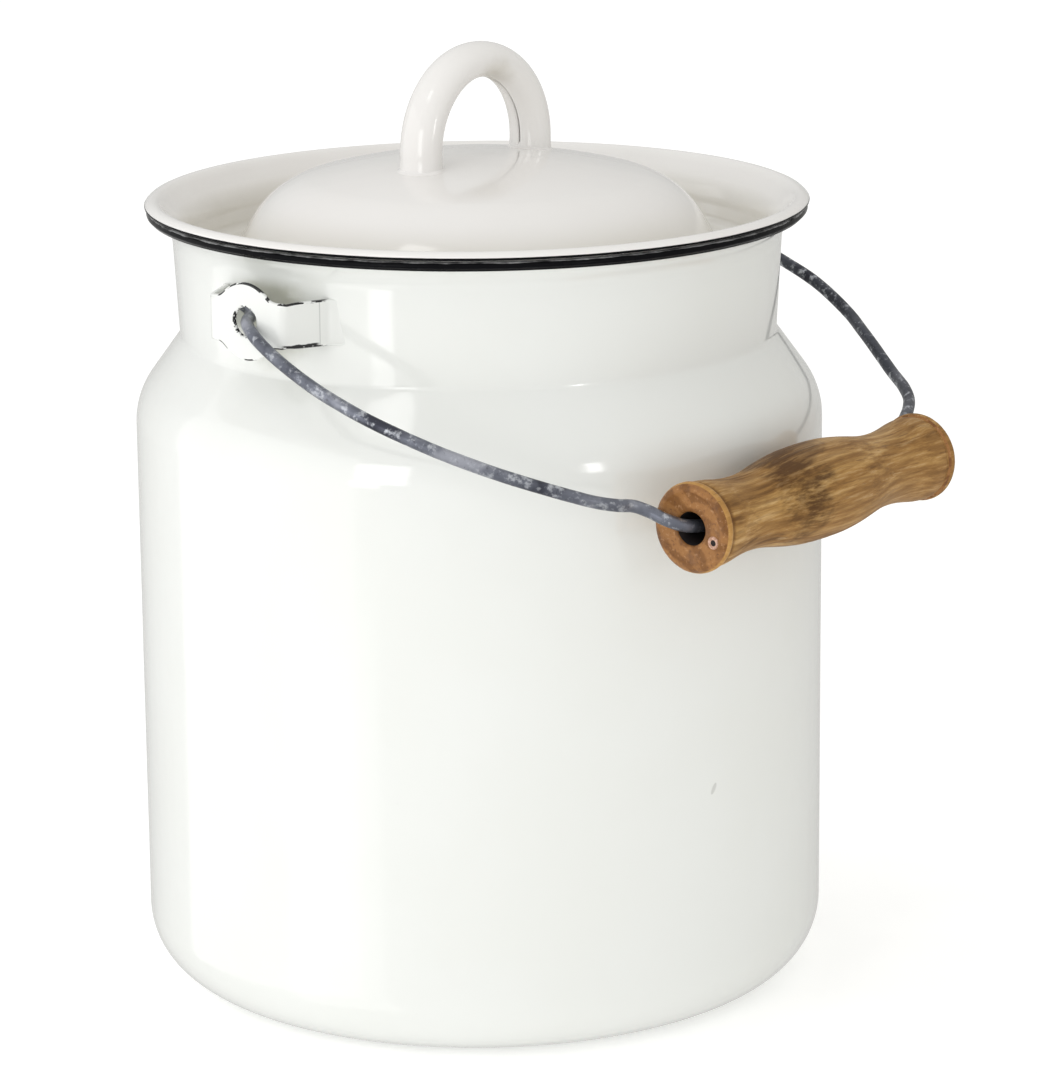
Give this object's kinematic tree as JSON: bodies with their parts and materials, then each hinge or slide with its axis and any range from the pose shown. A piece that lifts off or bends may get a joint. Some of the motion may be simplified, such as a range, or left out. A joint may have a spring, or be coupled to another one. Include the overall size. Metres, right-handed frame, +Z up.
{
  "type": "milk pail",
  "caption": "Enamelled steel milk pail with a drawn-in neck, a domed lid with an arch handle, and a swinging wire bail with a turned wooden grip.",
  "frame": {"origin": "centre of the flat base, on the surface that the pail stands on", "axes": "+Z up along the pail's axis; X along the bail's pivot line through both ears; the bail rests against the wall at -Y"},
  "size_m": [0.2002, 0.2057, 0.247],
  "materials": {
    "white_enamel": "glossy vitreous enamel",
    "black_enamel": "glossy vitreous enamel",
    "galvanised_wire": "dull zinc with worn bright patches",
    "turned_wood": "waxed hardwood with dark streaks"
  },
  "bodies": {
    "pail": {"pail_shell": "white_enamel", "mouth_bead": "black_enamel", "ear_left": "white_enamel", "ear_right": "white_enamel"},
    "lid": {"lid_shell": "white_enamel", "lid_edge_bead": "black_enamel", "lid_handle": "white_enamel"},
    "bail": {"bail_wire": "galvanised_wire"},
    "grip": {"wood_grip": "turned_wood"}
  },
  "joints": [
    {"name": "lid_lift", "type": "slide", "parent": "pail", "child": "lid", "axis": [0, 0, 1], "range_m": [0, 0.08]},
    {"name": "bail_swing", "type": "hinge", "parent": "pail", "child": "bail", "pos_m": [0, 0, 0.1879], "axis": [-1, 0, 0], "range_deg": [0, 228]},
    {"name": "grip_spin", "type": "hinge", "parent": "bail", "child": "grip", "pos_m": [0.005, -0.10323, 0.14194], "axis": [1, 0, 0], "continuous": true}
  ]
}
